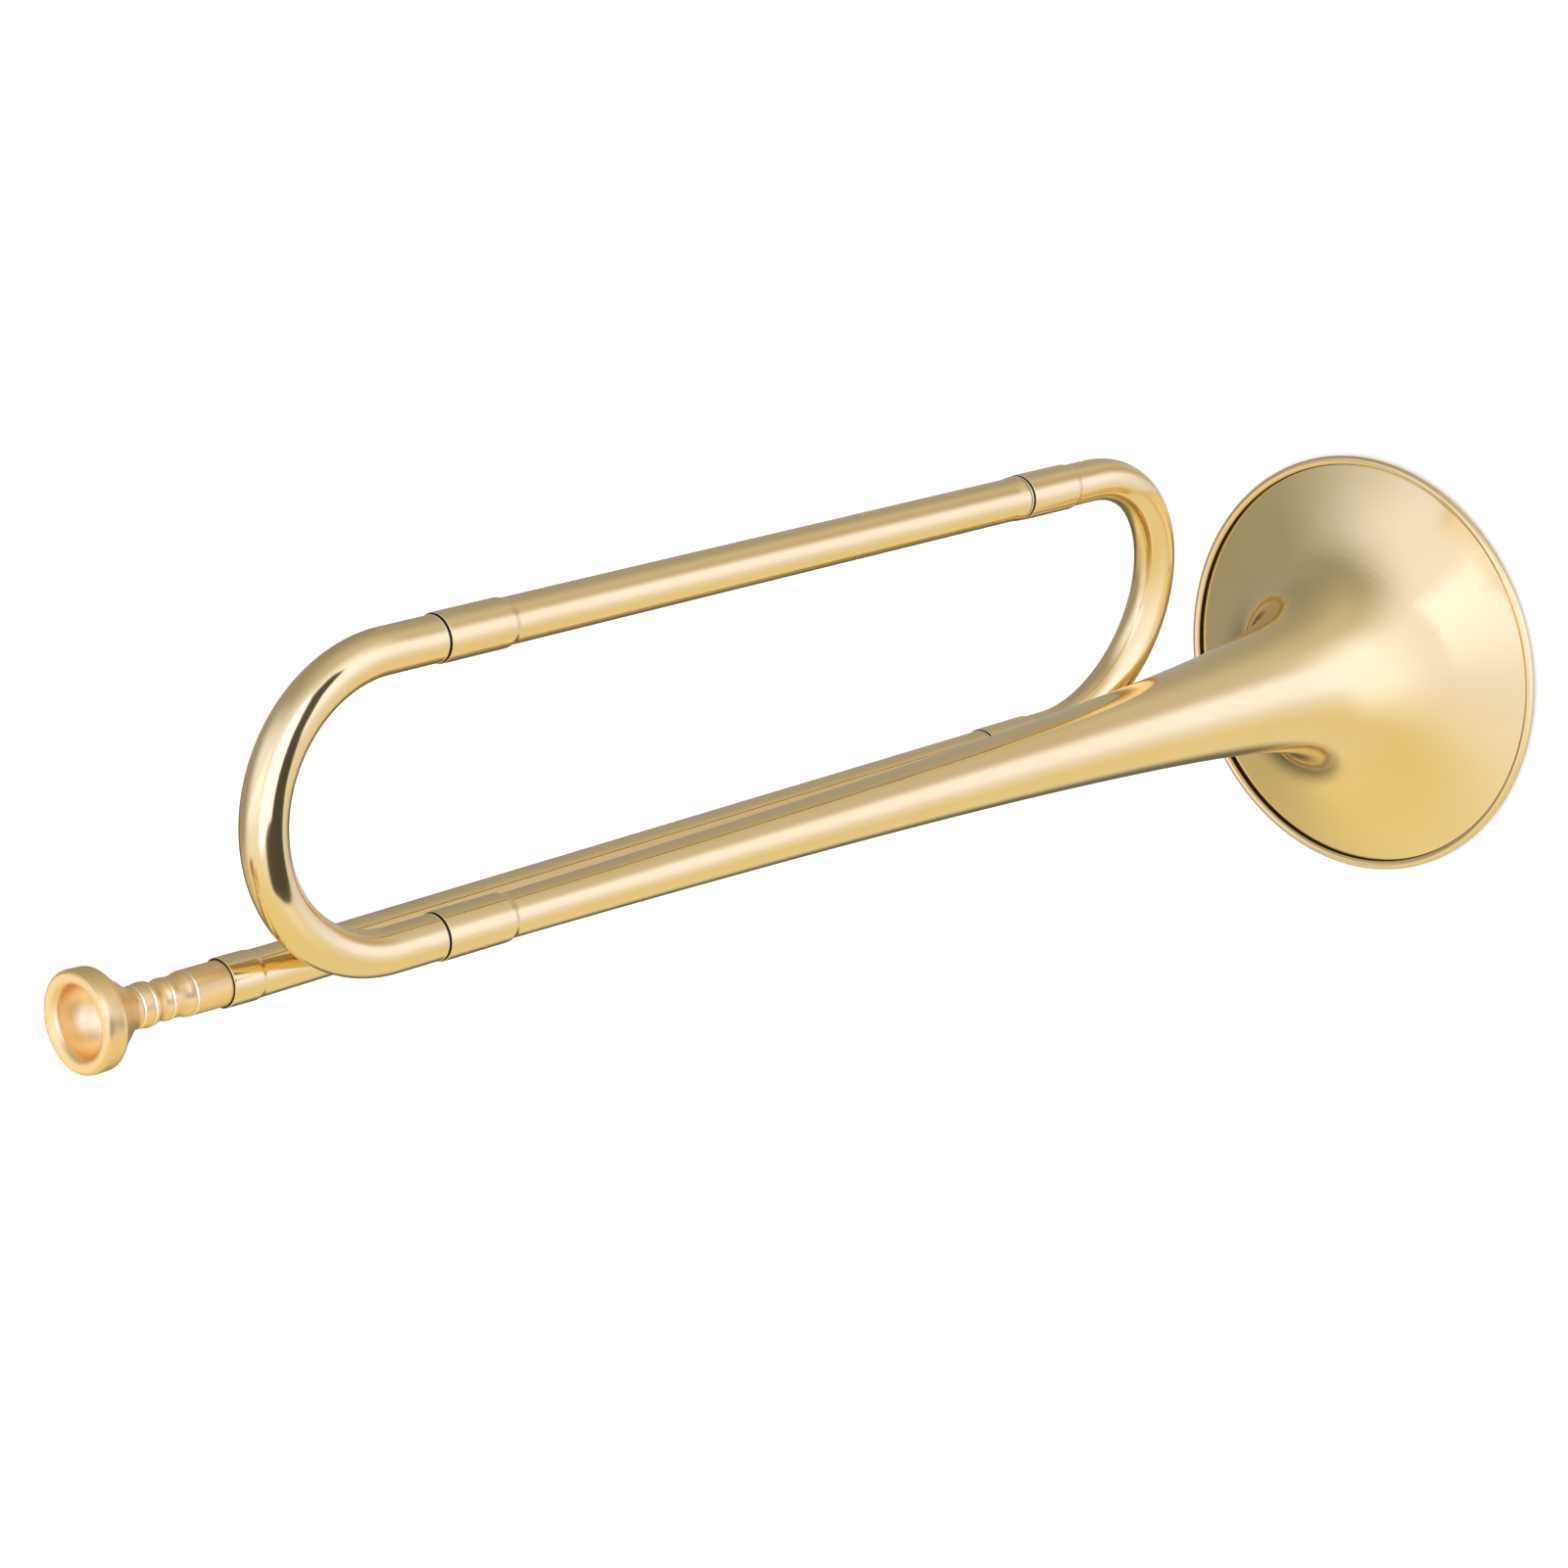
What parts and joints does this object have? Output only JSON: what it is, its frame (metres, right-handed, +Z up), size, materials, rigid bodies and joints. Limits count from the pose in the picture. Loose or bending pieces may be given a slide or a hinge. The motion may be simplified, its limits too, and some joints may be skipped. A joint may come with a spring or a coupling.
{
  "type": "natural bugle",
  "caption": "Valveless brass bugle with one elongated loop, a flared bell with a rolled rim, and a turned mouthpiece that pulls out of its receiver; stands on its bell.",
  "frame": {"origin": "centre of the bell's mouth, on the plane the rim rests on", "axes": "+Z up the bell's axis from the mouth towards the mouthpiece end, +X from the bell's axis towards the middle tube of the loop, +Y towards the lead pipe's side"},
  "size_m": [0.1561, 0.138, 0.5052],
  "materials": {
    "polished_brass": "polished and lacquered",
    "satin_brass": "satin, turned, slightly rosier",
    "solder": "dull silver-brass solder, smooth",
    "rim_steel": "plain drawn wire, hidden in the bead"
  },
  "bodies": {
    "bugle": {"bell": "polished_brass", "rim_wire": "rim_steel", "near_bow": "polished_brass", "mid_tube": "polished_brass", "far_bow": "polished_brass", "lead_pipe": "polished_brass", "solder_near_low": "solder", "solder_near_top": "solder", "solder_far_top": "solder", "solder_far_low": "solder", "solder_pad_near": "solder", "solder_pad_far": "solder"},
    "mouthpiece_body": {"mouthpiece": "satin_brass"}
  },
  "joints": [
    {"name": "mouthpiece_pull", "type": "slide", "parent": "bugle", "child": "mouthpiece_body", "axis": [0.0213, -0.0255, 0.9994], "range_m": [0, 0.06]}
  ]
}
